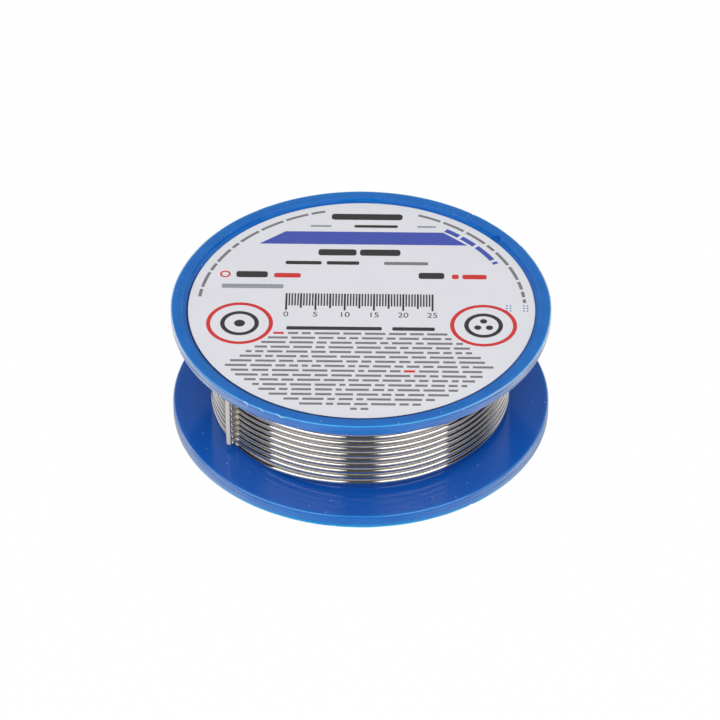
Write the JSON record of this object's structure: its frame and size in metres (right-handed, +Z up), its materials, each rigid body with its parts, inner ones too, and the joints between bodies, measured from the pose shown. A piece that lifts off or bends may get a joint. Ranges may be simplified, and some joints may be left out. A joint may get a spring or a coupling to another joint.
{
  "type": "solder wire spool",
  "caption": "Flanged plastic spool close-wound with bright solder wire, a round label over one face and a hub bore for a bench spindle in the other.",
  "frame": {"origin": "centre of the lower rim's resting face, on the spool's axis", "axes": "+Z up along the spool's axis towards the label, -Y the side the label is read from, +X to the reader's right"},
  "size_m": [0.065, 0.065, 0.022],
  "materials": {
    "spool_plastic": "injection moulded polystyrene, satin to semi-gloss, mid blue",
    "label_paper": null,
    "solder": "bright drawn tin-lead wire",
    "rosin": "amber rosin flux"
  },
  "bodies": {
    "root": {"lower_spool_half": "spool_plastic", "upper_spool_half": "spool_plastic", "front_label": "label_paper", "wire_outer_layer": "solder", "wire_inner_layers": "solder", "wire_inner_end": "solder", "rosin_flux_core": "rosin"}
  },
  "joints": []
}
